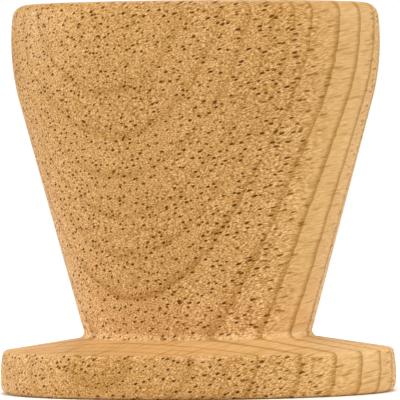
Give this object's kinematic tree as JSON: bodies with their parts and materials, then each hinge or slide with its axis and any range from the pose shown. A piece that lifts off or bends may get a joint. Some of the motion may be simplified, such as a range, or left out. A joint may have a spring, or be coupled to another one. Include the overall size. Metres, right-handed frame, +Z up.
{
  "type": "cup nutcracker",
  "caption": "Turned wooden cup on a disc foot that holds a nut, with a wooden screw and knob through its back wall and a swivelling pad that presses the nut until it cracks.",
  "frame": {"origin": "centre of the foot's underside", "axes": "+Z up along the cup's turned axis, the press screw along Y through the +Y wall, the plain side that faces a user is -Y"},
  "size_m": [0.09, 0.1495, 0.0882],
  "materials": {
    "beech": "oiled satin beech with dark ray flecks",
    "beech_screw": "waxed beech, cut thread",
    "beech_knob": "oiled satin beech",
    "dowel": "end grain",
    "pad": "waxed beech, worn face",
    "brass": "satin"
  },
  "bodies": {
    "cup": {"cup_body": "beech"},
    "pad": {"press_pad": "pad"},
    "screw": {"press_screw": "beech_screw", "knob": "beech_knob", "knob_dowel": "dowel", "pad_washer": "brass", "pad_screw": "brass"}
  },
  "joints": [
    {"name": "screw_feed", "type": "slide", "parent": "cup", "child": "pad", "axis": [0, -1, 0], "range_m": [0, 0.0301]},
    {"name": "screw_turn", "type": "hinge", "parent": "pad", "child": "screw", "pos_m": [0, 0, 0.058], "axis": [0, -1, 0], "range_deg": [0, 1800]}
  ],
  "couplings": [
    {"joint": "screw_feed", "follows": "screw_turn", "m_per_rad": 0.00095493}
  ]
}
